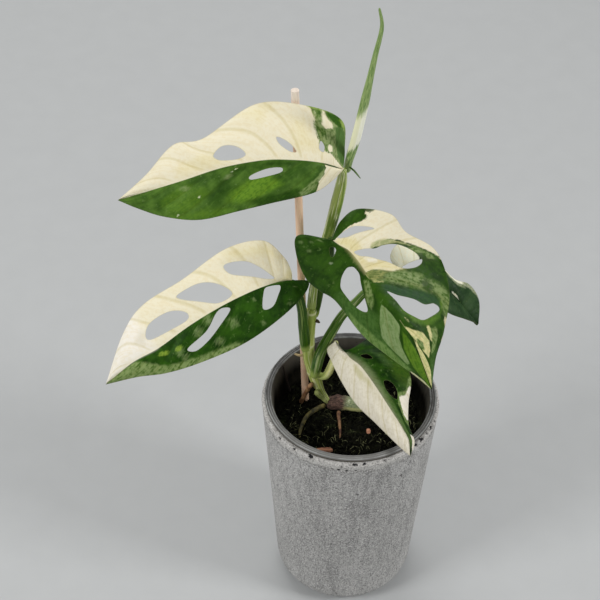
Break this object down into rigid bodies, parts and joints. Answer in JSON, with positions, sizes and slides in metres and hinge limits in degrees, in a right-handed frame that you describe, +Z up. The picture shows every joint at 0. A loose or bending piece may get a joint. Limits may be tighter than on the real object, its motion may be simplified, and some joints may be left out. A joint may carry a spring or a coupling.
{
  "type": "potted variegated monstera adansonii",
  "caption": "Young climbing houseplant with holed cream-and-green blades and a rolled new leaf, beside a thin stick, in a clear pot inside a tall tapered cement cover pot.",
  "frame": {"origin": "centre of the cover pot's flat underside, on the surface that it stands on", "axes": "+Z up along the pot's axis, -Y towards the viewer of the picture, +X to the viewer's right"},
  "size_m": [0.2551, 0.1284, 0.5131],
  "materials": {
    "cement": "fine-grained matte cement",
    "clear_plastic": "grey-clear plastic, dark against the mix",
    "potting_mix": "moist, crumbly peat",
    "stick_wood": "bare softwood",
    "old_stem": "fibrous brown skin, pale green cut end",
    "green_stem": "waxy",
    "leaf_stalk": "waxy, striped in two greens",
    "variegated_leaf": "satin, cream and green",
    "rolled_leaf": "satin, green with a cream band",
    "root": "matte",
    "bark": "rough",
    "dark_twig": "rough"
  },
  "bodies": {
    "root": {"cover_pot": "cement", "nursery_pot": "clear_plastic", "potting_mix": "potting_mix", "support_stick": "stick_wood", "old_cutting": "old_stem", "main_stem": "green_stem", "petiole_top": "leaf_stalk", "petiole_right": "leaf_stalk", "petiole_left": "leaf_stalk", "petiole_rear": "leaf_stalk", "petiole_low": "leaf_stalk", "leaf_top": "variegated_leaf", "leaf_left": "variegated_leaf", "leaf_right": "variegated_leaf", "leaf_low": "variegated_leaf", "leaf_rear": "variegated_leaf", "new_leaf": "rolled_leaf", "root_brown": "root", "root_pale": "root", "root_olive": "root", "root_thin": "root", "bark_chip": "bark", "bark_crumb": "bark", "twig": "dark_twig"}
  },
  "joints": []
}
